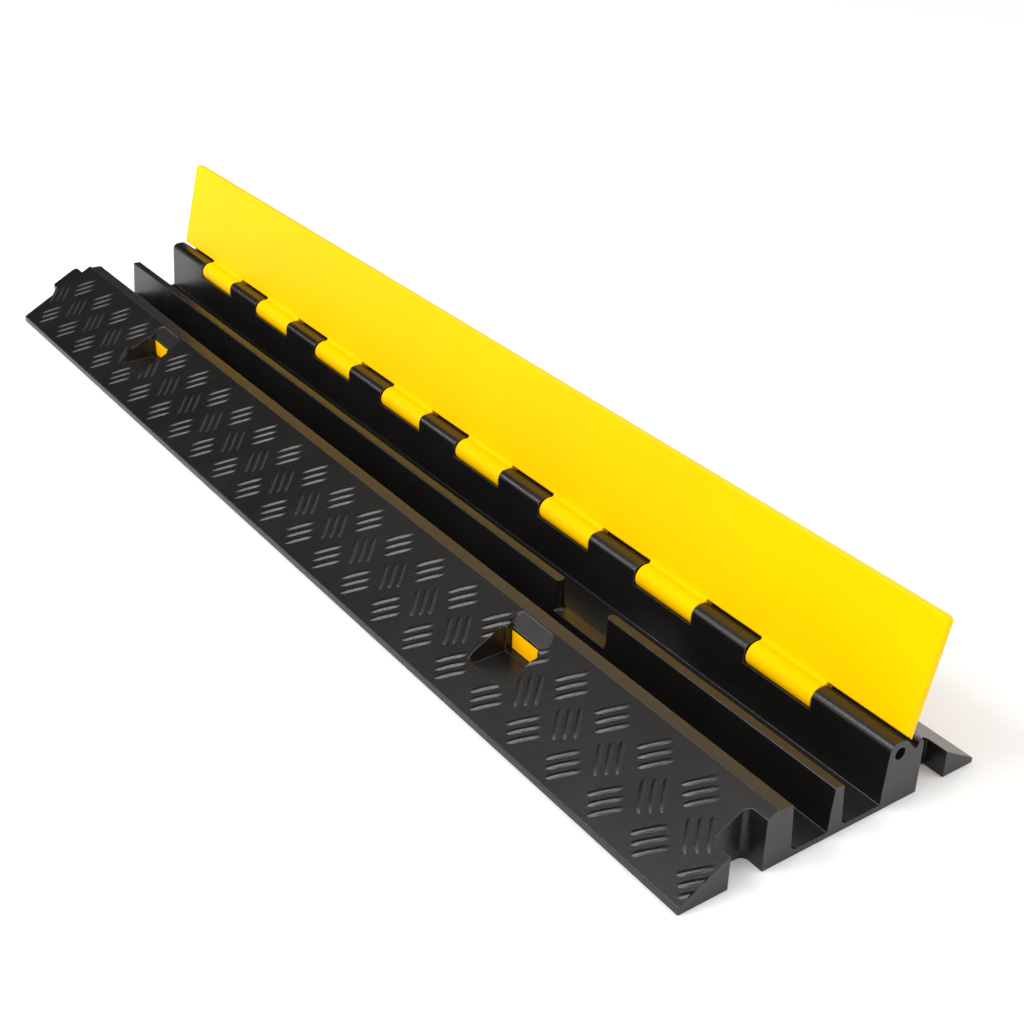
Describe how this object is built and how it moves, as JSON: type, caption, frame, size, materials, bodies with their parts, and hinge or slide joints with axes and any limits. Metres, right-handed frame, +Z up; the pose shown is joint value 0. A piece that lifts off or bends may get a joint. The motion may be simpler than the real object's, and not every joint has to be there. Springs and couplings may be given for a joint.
{
  "type": "floor cord cover",
  "caption": "Low rubber floor ramp with cable channels along its middle, a hinged plastic lid standing open, and tongues and notches to join the next one.",
  "frame": {"origin": "on the flat underside, halfway along the cover and below the middle of the divider between the two channels", "axes": "+X along the cover towards the end with the notches, +Y to the back where the hinge is, +Z up"},
  "size_m": [1.016, 0.245, 0.1272],
  "materials": {
    "base_rubber": "satin moulded rubber",
    "lid_plastic": "satin gloss moulded plastic",
    "window_plastic": "satin gloss moulded plastic",
    "pin_steel": "drawn steel rod"
  },
  "bodies": {
    "base": {"ramp_base": "base_rubber", "hinge_pin": "pin_steel", "window_plate_near": "window_plastic", "window_plate_far": "window_plastic"},
    "cover_lid": {"lid": "lid_plastic"}
  },
  "joints": [
    {"name": "lid_hinge", "type": "hinge", "parent": "base", "child": "cover_lid", "pos_m": [0, 0.05, 0.039], "axis": [1, 0, 0], "range_deg": [0, 104]}
  ]
}
